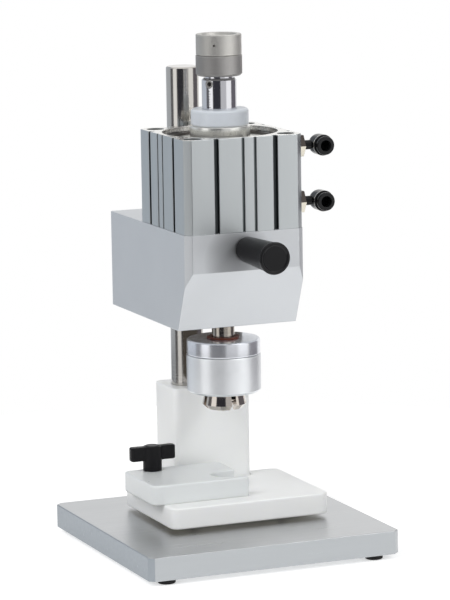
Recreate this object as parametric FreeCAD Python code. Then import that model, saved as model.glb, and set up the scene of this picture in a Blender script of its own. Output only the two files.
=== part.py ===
import FreeCAD, Part
import math
import os

# Tabletop capping machine: a pneumatic crimping head on a round column over a clamped nest.
# Millimetres. X runs along the front, Y to the back, Z up. The floor is at Z = 0 and the
# base plate is centred on X = 0, Y = 0.

V = FreeCAD.Vector
UP = V(0, 0, 1)
RIGHT = V(1, 0, 0)
FRONT = V(0, -1, 0)

# Fits and small sizes used all over the machine
running_gap = 0.05
thread_gap = 0.05
screw_gap = 0.25
parting_gap = 0.3
edge_break = 1.0
fine_break = 0.5
socket_share = 0.5
hexagon_turn = 30.0

# Base plate and feet
base_side = 200.0
base_thickness = 18.0
base_corner = 4.0
foot_height = 4.0
foot_recess = 1.5
foot_radius = 6.7
foot_rounding = 1.2
foot_inset_x = 16.9
foot_inset_y = 10.5
foot_screw_radius = 2.5
foot_screw_head_radius = 4.0
foot_screw_head = 1.2
foot_screw_length = 12.0

# Column near the back edge of the base, and the axis of the ram in front of it
column_inset = 31.0
column_pitch = 73.0
column_radius = 12.5
column_rise = 42.5
column_seat = 6.0
column_bolt_radius = 6.0
column_bolt_head_radius = 9.0
column_bolt_head = 9.0
column_bolt_grip = 24.0

# White block that the column passes through
block_left = -19.5
block_right = 43.8
block_half_depth = 21.0
block_height = 91.5
block_corner = 5.0
block_screw_radius = 3.0
block_screw_head_radius = 5.0
block_screw_head = 6.0
block_screw_grip = 16.0
block_screw_edge = 10.8
block_screw_inset = 9.0

# Lower nest plate on its spacer
nest_left = -57.0
nest_right = 71.0
nest_ahead = 34.0
nest_behind = 66.0
nest_thickness = 16.0
nest_corner = 7.0
spacer_thickness = 3.0
spacer_inset = 18.0
nest_screw_radius = 2.5
nest_screw_head_radius = 4.25
nest_screw_head = 5.0
nest_screw_grip = 10.0
nest_screw_edge = 28.0
nest_screw_margin = 20.0

# Upper nest plate, which slides to suit the work
guide_left = -66.0
guide_right = 12.4
guide_ahead = 18.0
guide_behind = 44.0
guide_thickness = 15.0
guide_corner = 5.0
vial_radius = 11.0
vial_play = 0.3
guide_travel_left = 4.0
guide_travel_right = 3.0

# T-handle that clamps the upper nest plate
handle_x = -45.0
handle_behind = 36.0
stud_radius = 3.0
stud_depth = 12.0
stud_reach = 10.0
hub_radius = 7.2
hub_height = 19.5
wing_span = 36.0
wing_depth = 8.4
wing_drop = 11.3
wing_waist = 6.4
wing_corner = 2.6
hub_lift = 0.1

# Head block that slides on the column, a little wider than the cylinder on it
head_side_step = 0.5
head_behind = 35.5
head_clear_height = 151.5
head_height = 73.0
head_slant_rise = 38.5
head_slant_run = 19.0
head_chamfer = 4.8
clamp_slit = 2.0
clamp_screw_radius = 4.0
clamp_screw_head_radius = 6.5
clamp_screw_head = 8.0
clamp_screw_back = 8.5
clamp_screw_inset = 17.0
clamp_screw_grip = 20.0

# Square compact cylinder
cylinder_half = 47.0
cylinder_height = 70.0
cylinder_chamfer = 4.8
side_wall = 7.0
bottom_wall = 10.0
recess_step = 3.0
recess_depth = 6.0
groove_margins = (24.5, 22.6)
outer_groove_width = 3.6
outer_groove_depth = 4.0
twin_groove_shift = 3.4
twin_groove_half = 4.8
inner_groove_width = 1.9
inner_groove_depth = 1.4
corner_screw_land = 1.7
corner_screw_radius = 4.0
corner_screw_head_radius = 6.25
corner_screw_head = 8.0
corner_screw_sink = 1.2
corner_screw_grip = 16.0
cover_thickness = 10.0
circlip_thickness = 2.0
circlip_bite = 1.4
circlip_width = 5.4
circlip_gap_half = 7.0
circlip_lug_radius = 3.2
circlip_eye_radius = 1.2
circlip_azimuth = 62.0

# Piston, rods and the stop above the cylinder
stroke = 24.5
piston_thickness = 16.0
piston_head_room = 1.0
piston_seal_width = 4.0
piston_seal_depth = 3.0
rod_radius = 13.0
rod_neck_radius = 10.5
rod_neck_height = 1.4
rod_bevel = 1.6
rod_thread_radius = 8.0
spindle_radius = 8.5
bush_wall = 3.0
bush_length = 22.0
seal_wall = 4.0
seal_height = 5.0
collar_radius = 20.5
collar_height = 10.5
buffer_radius = 21.5
buffer_height = 12.5
buffer_fillet = 1.2
nut_radius = 17.0
lock_nut_radius = 17.3
nut_height = 15.5
nut_bevel = 1.6
nut_dish_radius = 13.5
nut_dish_depth = 2.2
nut_eye_radius = 0.9
nut_eye_depth = 4.0
nut_eye_azimuth = -34.0
rim_eye_azimuth = 116.0
scale_azimuth = -59.0
scale_pitch = 2.0
scale_count = 9
scale_long = 3.2
scale_short = 2.0
scale_line = 0.4
scale_depth = 0.35
scale_start = 1.5
pin_screw_radius = 3.3
pin_screw_drop = 4.2
pin_screw_length = 6.0

# Crimping head under the head block
crimp_gap = 11.6
sleeve_height = 28.8
sleeve_radius = 28.0
sleeve_bore = 22.0
sleeve_lip = 2.5
sleeve_bevel = 1.8
mouth_radius = 15.2
lock_ring_height = 11.5
lock_ring_radius = 27.7
lock_ring_spigot = 4.0
lock_ring_spigot_radius = 24.0
ring_bush_flange = 12.3
ring_bush_flange_height = 1.4
ring_bush_radius = 10.6
holder_flange = 7.0
holder_hub = 2.5
holder_hub_radius = 10.5
holder_lip_gap = 1.0
holder_lip_height = 2.5
holder_lip_radius = 14.5
holder_pocket_radius = 15.6
spindle_thread_radius = 6.0
spindle_thread_reach = 2.0
sleeve_spring_length = 7.0
spring_outer = 20.0
spring_inner = 13.0
spring_web = 2.0
spring_folds = 4

# Four jaws of the collet
jaw_count = 4
jaw_first_azimuth = 50.0
jaw_slot = 3.8
jaw_drop = 13.0
jaw_lip_radius = 16.6
jaw_lip_rise = 3.6
jaw_tip_radius = 13.0
jaw_waist_rise = 13.0
jaw_waist_radius = 14.7
jaw_shank_rise = 15.5
jaw_shank_radius = 13.9
jaw_bead_radius = 15.2
jaw_bead_gap = 0.3
jaw_top_gap = 0.35
jaw_inner_radius = 11.2
jaw_hook_radius = 10.6
jaw_hook_rise = 1.8
jaw_hook_ramp = 1.0
pad_radius = 9.4
pad_rise = 7.0
pad_height = 3.5
pad_stem_radius = 3.5
pad_stem_reach = 7.0
pad_travel = 2.5
pad_spring_outer = 8.0
pad_spring_web = 1.4
pad_spring_folds = 6

# Tapered grip on the front of the head block
grip_drop = 12.5
grip_root_radius = 9.4
grip_end_radius = 12.0
grip_length = 52.5
grip_stand_off = 1.0
grip_bead = 1.6
grip_bead_low = -45
grip_bead_high = 150
grip_bead_step = 15
grip_pin_radius = 5.0
grip_pin_thread_radius = 4.0
grip_pin_thread = 14.0
grip_pin_head_radius = 7.0
grip_pin_head = 3.0
grip_pin_sink = 8.0

# Push-in elbows on the right-hand side of the cylinder
port_ahead = 16.0
port_upper_drop = 12.5
port_lower_rise = 15.5
port_radius = 6.0
port_depth = 8.0
adapter_flats = 17.0
adapter_length = 5.5
stem_flats = 16.0
stem_hex_length = 6.4
stem_root_radius = 4.5
stem_root = 5.0
stem_neck_radius = 2.9
stem_bore_radius = 1.6
elbow_reach = 26.2
elbow_radius = 7.8
elbow_front = 9.0
elbow_stub_radius = 4.3
elbow_stub_gap = 0.4
stem_tip_inset = 4.6
tube_radius = 4.0
tube_play = 0.1
release_flange_radius = 7.0
release_flange = 3.0
release_travel = 1.0
release_gap = 1.2
release_skirt_radius = 5.4
release_skirt = 5.0
tube_stop = 3.0

# Places on the base, from its back edge forwards
base_top = foot_height + base_thickness
foot_x = base_side / 2 - foot_inset_x
foot_y = base_side / 2 - foot_inset_y
column_y = base_side / 2 - column_inset
ram_y = column_y - column_pitch
block_front = column_y - block_half_depth
block_back = column_y + block_half_depth
block_top = base_top + block_height
nest_front = ram_y - nest_ahead
nest_back = ram_y + nest_behind
guide_front = ram_y - guide_ahead
guide_back = ram_y + guide_behind
handle_y = ram_y + handle_behind
spacer_top = base_top + spacer_thickness
nest_top = spacer_top + nest_thickness
guide_top = nest_top + guide_thickness

# Head block and cylinder, from the underside of the head block upwards
head_half_width = cylinder_half + head_side_step
head_front = ram_y - cylinder_half
head_back = column_y + head_behind
head_bottom = base_top + head_clear_height
head_top = head_bottom + head_height
cylinder_top = head_top + cylinder_height
column_top = cylinder_top + column_rise
grip_z = head_top - grip_drop
bore_radius = cylinder_half - side_wall
recess_radius = bore_radius + recess_step
circlip_outer = recess_radius + circlip_bite
corner_reach = circlip_outer + corner_screw_land + corner_screw_head_radius
corner_pitch = corner_reach / math.sqrt(2.0)
bore_floor = head_top + bottom_wall
cover_top = cylinder_top - recess_depth
cover_bottom = cover_top - cover_thickness
piston_top = cover_bottom - piston_head_room
piston_bottom = piston_top - piston_thickness
collar_top = cover_top + collar_height
buffer_top = collar_top + buffer_height
nut_bottom = buffer_top + stroke
rod_shoulder = nut_bottom - rod_neck_height
nut_split = nut_bottom + nut_height
nut_top = nut_split + nut_height
rod_top = nut_top - nut_dish_depth - edge_break

# Crimping head, from the underside of the head block downwards
bush_top = head_bottom - crimp_gap
lock_ring_top = bush_top - ring_bush_flange_height
sleeve_top = lock_ring_top - lock_ring_height
lock_ring_seat = sleeve_top - lock_ring_spigot
sleeve_bottom = sleeve_top - sleeve_height
jaw_tip = sleeve_bottom - jaw_drop
lip_height = sleeve_bottom + sleeve_lip
holder_flange_top = lock_ring_seat - sleeve_spring_length
holder_flange_bottom = holder_flange_top - holder_flange
holder_hub_top = holder_flange_top + holder_hub
holder_skirt_bottom = lip_height + holder_lip_gap
spindle_thread_bottom = holder_flange_bottom - spindle_thread_reach
pad_stem_top = spindle_thread_bottom + pad_stem_reach

# Elbows, from the side of the cylinder outwards
port_y = ram_y - port_ahead
port_upper_z = cylinder_top - port_upper_drop
port_lower_z = head_top + port_lower_rise
adapter_end = cylinder_half + adapter_length
stem_end = adapter_end + stem_hex_length
elbow_axis_x = cylinder_half + elbow_reach
elbow_mouth_y = port_y - elbow_front
stem_tip = elbow_axis_x - stem_tip_inset

parts = {}


def cylinder(radius, start, length, direction=UP):
    return Part.makeCylinder(radius, length, start, direction)


def upright(radius, low, high, x=0.0, y=0.0):
    return cylinder(radius, V(x, y, low), high - low)


def on_ram(radius, low, high):
    return upright(radius, low, high, 0.0, ram_y)


def slab(left, right, front, back, low, high):
    return Part.makeBox(right - left, back - front, high - low, V(left, front, low))


def vertical_edges(solid):
    found = []
    for edge in solid.Edges:
        direction = edge.tangentAt(edge.FirstParameter)
        if abs(direction.z) > 0.999 and edge.Length > fine_break:
            found.append(edge)
    return found


def rim_edges(solid, level):
    found = []
    for edge in solid.Edges:
        box = edge.BoundBox
        if abs(box.ZMin - level) < 1e-6 and abs(box.ZMax - level) < 1e-6:
            found.append(edge)
    return found


def rounded_plate(left, right, front, back, low, high, corner, break_size):
    plate = slab(left, right, front, back, low, high)
    plate = plate.makeFillet(corner, vertical_edges(plate))
    rims = rim_edges(plate, low) + rim_edges(plate, high)
    return plate.makeChamfer(break_size, rims)


def turned(profile, centre=V(0, 0, 0), axis=UP, angle=360.0):
    # The profile is a closed list of (radius, height) pairs, turned about the axis
    side = RIGHT
    if abs(axis.dot(RIGHT)) > 0.5:
        side = V(0, 0, 1)
    points = [centre + side * radius + axis * height for radius, height in profile]
    points.append(points[0])
    face = Part.Face(Part.makePolygon(points))
    return face.revolve(centre, axis, angle)


def turned_on_ram(profile):
    return turned(profile, V(0, ram_y, 0))


def ring(outer, inner, low, high, x=0.0, y=0.0):
    return upright(outer, low, high, x, y).cut(upright(inner, low, high, x, y))


def hexagon(flats, start, length, direction):
    corner = flats / math.sqrt(3.0)
    turn = FreeCAD.Rotation(UP, direction)
    points = []
    for index in range(7):
        angle = math.radians(60.0 * index + hexagon_turn)
        flat_point = V(corner * math.cos(angle), corner * math.sin(angle), 0)
        points.append(start + turn.multVec(flat_point))
    face = Part.Face(Part.makePolygon(points))
    return face.extrude(direction * length)


def cap_screw(seat, direction, shank, head_radius, head_height, length):
    # The seat is under the head, and the shank runs along the direction
    head = cylinder(head_radius, seat, head_height, direction * -1)
    shaft = cylinder(shank, seat, length, direction)
    rim = seat - direction * head_height
    socket = hexagon(head_radius, rim, head_height * socket_share, direction)
    return head.fuse(shaft).removeSplitter().cut(socket)


def around_ram(radius, azimuth, level):
    # Azimuth 0 faces the front and grows towards the right
    angle = math.radians(azimuth)
    return V(radius * math.sin(angle), ram_y - radius * math.cos(angle), level)


def keep(name, shape):
    parts[name] = shape


# Base plate, with every screw let in from below
foot_spots = [(sx * foot_x, sy * foot_y) for sx in (-1, 1) for sy in (-1, 1)]
nest_screw_spots = []
for spot_x in (nest_left + nest_screw_edge, nest_right - nest_screw_edge):
    for spot_y in (nest_front + nest_screw_edge, block_front - nest_screw_margin):
        nest_screw_spots.append((spot_x, spot_y))
block_screw_x = block_right - block_screw_edge
block_screw_spots = [(block_screw_x, block_front + block_screw_inset),
                     (block_screw_x, block_back - block_screw_inset)]

base = slab(-base_side / 2, base_side / 2, -base_side / 2, base_side / 2, foot_height, base_top)
base = base.makeChamfer(base_corner, vertical_edges(base))
base = base.makeChamfer(fine_break, rim_edges(base, foot_height) + rim_edges(base, base_top))
for x, y in foot_spots:
    base = base.cut(upright(foot_screw_radius + thread_gap, foot_height,
                            foot_height + foot_screw_length, x, y))


def let_in(plate, spots, shank, head_radius, head_height):
    # A clearance hole with a counterbore just deeper than the screw's head
    for x, y in spots:
        plate = plate.cut(upright(shank + screw_gap, foot_height, base_top, x, y))
        plate = plate.cut(upright(head_radius + screw_gap, foot_height,
                                  foot_height + head_height + edge_break, x, y))
    return plate


base = let_in(base, nest_screw_spots, nest_screw_radius, nest_screw_head_radius, nest_screw_head)
base = let_in(base, block_screw_spots, block_screw_radius, block_screw_head_radius,
              block_screw_head)
base = let_in(base, [(0.0, column_y)], column_bolt_radius, column_bolt_head_radius,
              column_bolt_head)
base = base.cut(upright(column_radius, base_top - column_seat, base_top, 0.0, column_y))
keep("base_plate", base)

feet = []
foot_screws = []
for x, y in foot_spots:
    foot = upright(foot_radius, 0, foot_height, x, y)
    foot = foot.makeFillet(foot_rounding, rim_edges(foot, 0))
    foot = foot.cut(upright(foot_screw_head_radius + screw_gap, 0, foot_recess + fine_break, x, y))
    foot = foot.cut(upright(foot_screw_radius + screw_gap, 0, foot_height, x, y))
    feet.append(foot)
    foot_screws.append(cap_screw(V(x, y, foot_recess + fine_break), UP, foot_screw_radius,
                                 foot_screw_head_radius, foot_screw_head, foot_screw_length))
keep("rubber_feet", Part.makeCompound(feet))
keep("foot_screws", Part.makeCompound(foot_screws))

# Column, seated in the base and drawn down by one bolt
column_low = base_top - column_seat
column = turned([(0, column_low), (column_radius, column_low),
                 (column_radius, column_top - edge_break), (column_radius - edge_break, column_top),
                 (0, column_top)], V(0, column_y, 0))
column = column.cut(upright(column_bolt_radius + thread_gap, column_low,
                            column_low + column_bolt_grip, 0.0, column_y))
keep("column", column)
bolt_seat = foot_height + column_bolt_head + edge_break
keep("column_bolt", cap_screw(V(0, column_y, bolt_seat), UP, column_bolt_radius,
                              column_bolt_head_radius, column_bolt_head, column_bolt_grip))

# White block round the column's foot
block = rounded_plate(block_left, block_right, block_front, block_back, base_top, block_top,
                      block_corner, edge_break)
block = block.cut(upright(column_radius + thread_gap, base_top, block_top, 0.0, column_y))
block_screws = []
for x, y in block_screw_spots:
    block = block.cut(upright(block_screw_radius + thread_gap, base_top,
                              base_top + block_screw_grip, x, y))
    seat = foot_height + block_screw_head + edge_break
    block_screws.append(cap_screw(V(x, y, seat), UP, block_screw_radius, block_screw_head_radius,
                                  block_screw_head, base_top - seat + block_screw_grip - edge_break))
keep("column_block", block)
keep("block_screws", Part.makeCompound(block_screws))

# Spacer and lower nest plate, notched round the block
spacer = slab(nest_left + spacer_inset, nest_right - spacer_inset, nest_front + spacer_inset,
              block_front - edge_break, base_top, spacer_top)
nest = rounded_plate(nest_left, nest_right, nest_front, nest_back, spacer_top, nest_top,
                     nest_corner, edge_break)
nest = nest.cut(slab(block_left - parting_gap, block_right + parting_gap,
                     block_front - parting_gap, nest_back, spacer_top, nest_top))
nest_screws = []
for x, y in nest_screw_spots:
    spacer = spacer.cut(upright(nest_screw_radius + screw_gap, base_top, spacer_top, x, y))
    nest = nest.cut(upright(nest_screw_radius + thread_gap, spacer_top,
                            spacer_top + nest_screw_grip, x, y))
    seat = foot_height + nest_screw_head + edge_break
    nest_screws.append(cap_screw(V(x, y, seat), UP, nest_screw_radius, nest_screw_head_radius,
                                 nest_screw_head, spacer_top - seat + nest_screw_grip - edge_break))
nest = nest.cut(upright(stud_radius + running_gap, nest_top - stud_depth, nest_top,
                        handle_x, handle_y))
keep("nest_spacer", spacer)
keep("nest_lower_plate", nest)
keep("nest_screws", Part.makeCompound(nest_screws))

# Upper nest plate with an open pocket and a slot for the clamp stud
guide = rounded_plate(guide_left, guide_right, guide_front, guide_back, nest_top, guide_top,
                      guide_corner, edge_break)
pocket = vial_radius + vial_play
guide = guide.cut(on_ram(pocket, nest_top, guide_top))
guide = guide.cut(slab(0.0, guide_right, ram_y - pocket, ram_y + pocket, nest_top, guide_top))
slot_radius = stud_radius + screw_gap
slot_low_x = handle_x - guide_travel_right
slot_high_x = handle_x + guide_travel_left
for x in (slot_low_x, slot_high_x):
    guide = guide.cut(upright(slot_radius, nest_top, guide_top, x, handle_y))
guide = guide.cut(slab(slot_low_x, slot_high_x, handle_y - slot_radius, handle_y + slot_radius,
                       nest_top, guide_top))
keep("nest_upper_plate", guide)

# T-handle: a round hub and two waisted wings on a stud
hub_bottom = guide_top + hub_lift
hub_top = hub_bottom + hub_height
hub = turned([(0, hub_bottom), (hub_radius - fine_break, hub_bottom),
              (hub_radius, hub_bottom + fine_break), (hub_radius, hub_top - edge_break),
              (hub_radius - 2 * edge_break, hub_top), (0, hub_top)], V(handle_x, handle_y, 0))
wing_points = []
half_tip = wing_depth / 2
half_waist = wing_waist / 2
reach = wing_span / 2
wing_bottom = hub_top - wing_drop
wing_top = hub_top - fine_break
for side in (1, -1):
    for across in (-1, 1):
        wing_points.append(V(handle_x + side * reach, handle_y + half_tip * across * side,
                             wing_bottom))
    wing_points.append(V(handle_x, handle_y + half_waist * side, wing_bottom))
wing_points.append(wing_points[0])
wings = Part.Face(Part.makePolygon(wing_points)).extrude(UP * (wing_top - wing_bottom))
wing_tips = [edge for edge in vertical_edges(wings)
             if abs(edge.Vertexes[0].X - handle_x) > hub_radius]
wings = wings.makeFillet(wing_corner, wing_tips)
wings = wings.makeFillet(edge_break, rim_edges(wings, wing_bottom) + rim_edges(wings, wing_top))
handle = hub.fuse(wings).removeSplitter()
handle = handle.cut(upright(stud_radius, hub_bottom, hub_bottom + stud_reach, handle_x, handle_y))
keep("t_handle", handle)
keep("handle_stud", upright(stud_radius, nest_top - stud_depth + edge_break,
                            hub_bottom + stud_reach, handle_x, handle_y))

# Head block: one side profile drawn out across the machine, then bored and slit
head_profile = [V(-head_half_width, head_front, head_top),
                V(-head_half_width, head_front, head_bottom + head_slant_rise),
                V(-head_half_width, head_front + head_slant_run, head_bottom),
                V(-head_half_width, head_back, head_bottom),
                V(-head_half_width, head_back, head_top)]
head_profile.append(head_profile[0])
head = Part.Face(Part.makePolygon(head_profile)).extrude(RIGHT * (2 * head_half_width))
for side in (-1, 1):
    corner = V(side * head_half_width, head_front, head_bottom)
    wedge_points = [corner, corner - RIGHT * side * head_chamfer, corner + V(0, head_chamfer, 0),
                    corner]
    wedge = Part.Face(Part.makePolygon(wedge_points)).extrude(UP * head_height)
    head = head.cut(wedge)
    tail = V(side * head_half_width, head_back, head_bottom)
    tail_points = [tail, tail - RIGHT * side * edge_break, tail - V(0, edge_break, 0), tail]
    head = head.cut(Part.Face(Part.makePolygon(tail_points)).extrude(UP * head_height))
head = head.cut(upright(column_radius + running_gap, head_bottom, head_top, 0.0, column_y))
head = head.cut(slab(-clamp_slit / 2, clamp_slit / 2, column_y, head_back, head_bottom, head_top))
bush_radius = spindle_radius + running_gap + bush_wall
head = head.cut(on_ram(spindle_radius + 2 * edge_break, head_bottom, head_top))
head = head.cut(on_ram(bush_radius, head_bottom, head_bottom + bush_length))
clamp_y = head_back - clamp_screw_back
clamp_seat_x = head_half_width - clamp_screw_head - edge_break
clamp_reach = clamp_seat_x + clamp_screw_grip
clamp_screws = []
for level in (head_bottom + clamp_screw_inset, head_top - clamp_screw_inset):
    head = head.cut(cylinder(clamp_screw_head_radius + screw_gap, V(clamp_seat_x, clamp_y, level),
                             head_half_width, RIGHT))
    head = head.cut(cylinder(clamp_screw_radius + screw_gap, V(0, clamp_y, level), head_half_width,
                             RIGHT))
    head = head.cut(cylinder(clamp_screw_radius + thread_gap,
                             V(-clamp_screw_grip - edge_break, clamp_y, level),
                             clamp_screw_grip + edge_break, RIGHT))
    clamp_screws.append(cap_screw(V(clamp_seat_x, clamp_y, level), RIGHT * -1, clamp_screw_radius,
                                  clamp_screw_head_radius, clamp_screw_head, clamp_reach))
keep("clamp_screws", Part.makeCompound(clamp_screws))
corner_spots = [(sx * corner_pitch, ram_y + sy * corner_pitch) for sx in (-1, 1) for sy in (-1, 1)]
for x, y in corner_spots:
    head = head.cut(upright(corner_screw_radius + thread_gap,
                            head_top - corner_screw_grip - edge_break, head_top, x, y))
head = head.cut(cylinder(grip_pin_thread_radius + thread_gap, V(0, head_front, grip_z),
                         grip_pin_thread + edge_break, FRONT * -1))
keep("head_block", head)
keep("spindle_bush", ring(bush_radius, spindle_radius + running_gap, head_bottom,
                          head_bottom + bush_length, 0.0, ram_y))

# Cylinder body: a square extrusion with four grooves on each face
half = cylinder_half
cut_back = cylinder_half - cylinder_chamfer
outline = []
for turn in range(4):
    angle = math.radians(90 * turn)
    for u, v in ((-cut_back, -half), (cut_back, -half)):
        x = u * math.cos(angle) - v * math.sin(angle)
        y = u * math.sin(angle) + v * math.cos(angle)
        outline.append(V(x, ram_y + y, head_top))
outline.append(outline[0])
body = Part.Face(Part.makePolygon(outline)).extrude(UP * cylinder_height)


def face_groove(offset, width, depth, turn):
    groove = slab(offset - width / 2, offset + width / 2, -half, depth - half,
                  head_top, cylinder_top)
    groove.rotate(V(0, 0, 0), UP, 90 * turn)
    groove.translate(V(0, ram_y, 0))
    return groove


outer_grooves = (groove_margins[0] - half, half - groove_margins[1])
inner_grooves = (twin_groove_shift - twin_groove_half, twin_groove_shift + twin_groove_half)
for turn in range(4):
    mirror = 1 - 2 * (turn % 2)
    for offset in outer_grooves:
        body = body.cut(face_groove(mirror * offset, outer_groove_width, outer_groove_depth, turn))
    for offset in inner_grooves:
        body = body.cut(face_groove(mirror * offset, inner_groove_width, inner_groove_depth, turn))
body = body.cut(on_ram(bore_radius, bore_floor, cylinder_top))
body = body.cut(on_ram(recess_radius, cover_top, cylinder_top))
body = body.cut(on_ram(circlip_outer, cover_top, cover_top + circlip_thickness))
seal_radius = spindle_radius + seal_wall
body = body.cut(on_ram(spindle_radius + running_gap, head_top, bore_floor))
body = body.cut(on_ram(seal_radius, bore_floor - seal_height, bore_floor))
corner_screws = []
screw_seat = cylinder_top - corner_screw_sink - corner_screw_head
for x, y in corner_spots:
    body = body.cut(upright(corner_screw_radius + screw_gap, head_top, cylinder_top, x, y))
    body = body.cut(upright(corner_screw_head_radius + screw_gap, screw_seat, cylinder_top, x, y))
    corner_screws.append(cap_screw(V(x, y, screw_seat), UP * -1, corner_screw_radius,
                                   corner_screw_head_radius, corner_screw_head,
                                   screw_seat - head_top + corner_screw_grip))
for level in (port_lower_z, port_upper_z):
    body = body.cut(cylinder(port_radius + thread_gap,
                             V(cylinder_half - port_depth - edge_break, port_y, level),
                             port_depth + 2 * edge_break, RIGHT))
keep("cylinder_body", body)
keep("corner_screws", Part.makeCompound(corner_screws))
keep("rod_seal", ring(seal_radius, spindle_radius + running_gap, bore_floor - seal_height,
                      bore_floor, 0.0, ram_y))

# Cover in the top recess, held by an open ring with two eyes
keep("cylinder_cover", ring(bore_radius, rod_radius + running_gap, cover_bottom, cover_top,
                            0.0, ram_y))
circlip_level = cover_top + circlip_thickness
circlip = ring(circlip_outer, circlip_outer - circlip_width, cover_top, circlip_level, 0.0, ram_y)
circlip_centre_line = circlip_outer - circlip_width
opening = slab(-circlip_gap_half, circlip_gap_half, -cylinder_half, 0.0, cover_top, circlip_level)
opening.rotate(V(0, 0, 0), UP, circlip_azimuth)
opening.translate(V(0, ram_y, 0))
circlip = circlip.cut(opening)
eye_turn = math.degrees(math.asin((circlip_gap_half + circlip_lug_radius) / circlip_centre_line))
for side in (-1, 1):
    spot = around_ram(circlip_centre_line, circlip_azimuth + side * eye_turn, cover_top)
    circlip = circlip.fuse(cylinder(circlip_lug_radius, spot, circlip_thickness))
    circlip = circlip.cut(cylinder(circlip_eye_radius, spot, circlip_thickness))
keep("cover_circlip", circlip.removeSplitter())
keep("stop_collar", turned_on_ram([
    (rod_radius + running_gap, cover_top), (collar_radius, cover_top),
    (collar_radius, collar_top - fine_break), (collar_radius - fine_break, collar_top),
    (rod_radius + running_gap, collar_top)]))
buffer_ring = ring(buffer_radius, rod_radius + running_gap, collar_top, buffer_top, 0.0, ram_y)
outer_rims = []
for edge in rim_edges(buffer_ring, collar_top) + rim_edges(buffer_ring, buffer_top):
    if edge.BoundBox.XLength > 2 * collar_radius:
        outer_rims.append(edge)
keep("buffer_ring", buffer_ring.makeChamfer(buffer_fillet, outer_rims))

# Piston with its seal, and the two rods that make up the ram
piston_radius = bore_radius - 2 * running_gap
groove_low = (piston_top + piston_bottom - piston_seal_width) / 2
groove_high = groove_low + piston_seal_width
piston = on_ram(piston_radius, piston_bottom, piston_top)
piston = piston.cut(ring(piston_radius, piston_radius - piston_seal_depth, groove_low,
                         groove_high, 0.0, ram_y))
keep("piston", piston)
keep("piston_seal", ring(bore_radius - running_gap, piston_radius - piston_seal_depth,
                         groove_low, groove_high, 0.0, ram_y))
stop_rod = turned_on_ram([
    (0, piston_top), (rod_radius, piston_top), (rod_radius, rod_shoulder - rod_bevel),
    (rod_radius - rod_bevel, rod_shoulder), (rod_neck_radius, rod_shoulder),
    (rod_neck_radius, nut_bottom), (rod_thread_radius, nut_bottom),
    (rod_thread_radius, rod_top - edge_break), (rod_thread_radius - edge_break, rod_top),
    (0, rod_top)])
for index in range(scale_count):
    level = buffer_top + scale_start + index * scale_pitch
    width = scale_long if index % 5 == 0 else scale_short
    mark = slab(-width / 2, width / 2, -rod_radius, scale_depth - rod_radius,
                level, level + scale_line)
    mark.rotate(V(0, 0, 0), UP, scale_azimuth)
    mark.translate(V(0, ram_y, 0))
    stop_rod = stop_rod.cut(mark)
pin_level = rod_shoulder - pin_screw_drop
pin_out = around_ram(rod_radius, scale_azimuth, pin_level)
pin_in = around_ram(rod_radius - pin_screw_length, scale_azimuth, pin_level)
pin_direction = (pin_in - pin_out).normalize()
pin_start = pin_out + pin_direction * fine_break
stop_rod = stop_rod.cut(cylinder(pin_screw_radius, pin_out - pin_direction * fine_break,
                                 pin_screw_length + fine_break, pin_direction))
keep("stop_rod", stop_rod)
pin_screw = cylinder(pin_screw_radius, pin_start, pin_screw_length - fine_break, pin_direction)
pin_screw = pin_screw.cut(hexagon(pin_screw_radius, pin_start, pin_screw_radius, pin_direction))
keep("stop_rod_screw", pin_screw)
keep("spindle", turned_on_ram([
    (0, piston_bottom), (spindle_radius, piston_bottom), (spindle_radius, holder_hub_top),
    (spindle_thread_radius, holder_hub_top), (spindle_thread_radius, spindle_thread_bottom),
    (0, spindle_thread_bottom)]))

# Stop nut and lock nut on the threaded top of the ram
thread_bore = rod_thread_radius + running_gap
keep("lock_nut", turned_on_ram([
    (thread_bore, nut_bottom), (lock_nut_radius - nut_bevel, nut_bottom),
    (lock_nut_radius, nut_bottom + nut_bevel), (lock_nut_radius, nut_split - fine_break),
    (lock_nut_radius - fine_break, nut_split), (thread_bore, nut_split)]))
stop_nut = turned_on_ram([
    (thread_bore, nut_split), (nut_radius - fine_break, nut_split),
    (nut_radius, nut_split + fine_break), (nut_radius, nut_top - fine_break),
    (nut_radius - fine_break, nut_top), (nut_dish_radius, nut_top),
    (nut_dish_radius - edge_break, nut_top - nut_dish_depth),
    (thread_bore, nut_top - nut_dish_depth)])
side_eye = around_ram(nut_radius, nut_eye_azimuth, nut_split + nut_height / 2)
side_direction = (V(0, ram_y, side_eye.z) - side_eye).normalize()
rim_eye = around_ram((nut_radius + nut_dish_radius) / 2, rim_eye_azimuth, nut_top)
for eye, direction in ((side_eye, side_direction), (rim_eye, UP * -1)):
    stop_nut = stop_nut.cut(cylinder(nut_eye_radius, eye, nut_eye_depth, direction))
keep("stop_nut", stop_nut)

# Collet holder on the spindle, with a pocket that carries the jaws' beads
skirt_radius = sleeve_bore - running_gap
lip_top = holder_skirt_bottom + holder_lip_height
keep("collet_holder", turned_on_ram([
    (spindle_thread_radius, holder_flange_bottom), (spindle_thread_radius, holder_hub_top),
    (holder_hub_radius, holder_hub_top), (holder_hub_radius, holder_flange_top),
    (skirt_radius, holder_flange_top), (skirt_radius, holder_skirt_bottom),
    (holder_lip_radius, holder_skirt_bottom), (holder_lip_radius, lip_top),
    (holder_pocket_radius, lip_top), (holder_pocket_radius, holder_flange_bottom)]))

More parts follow.
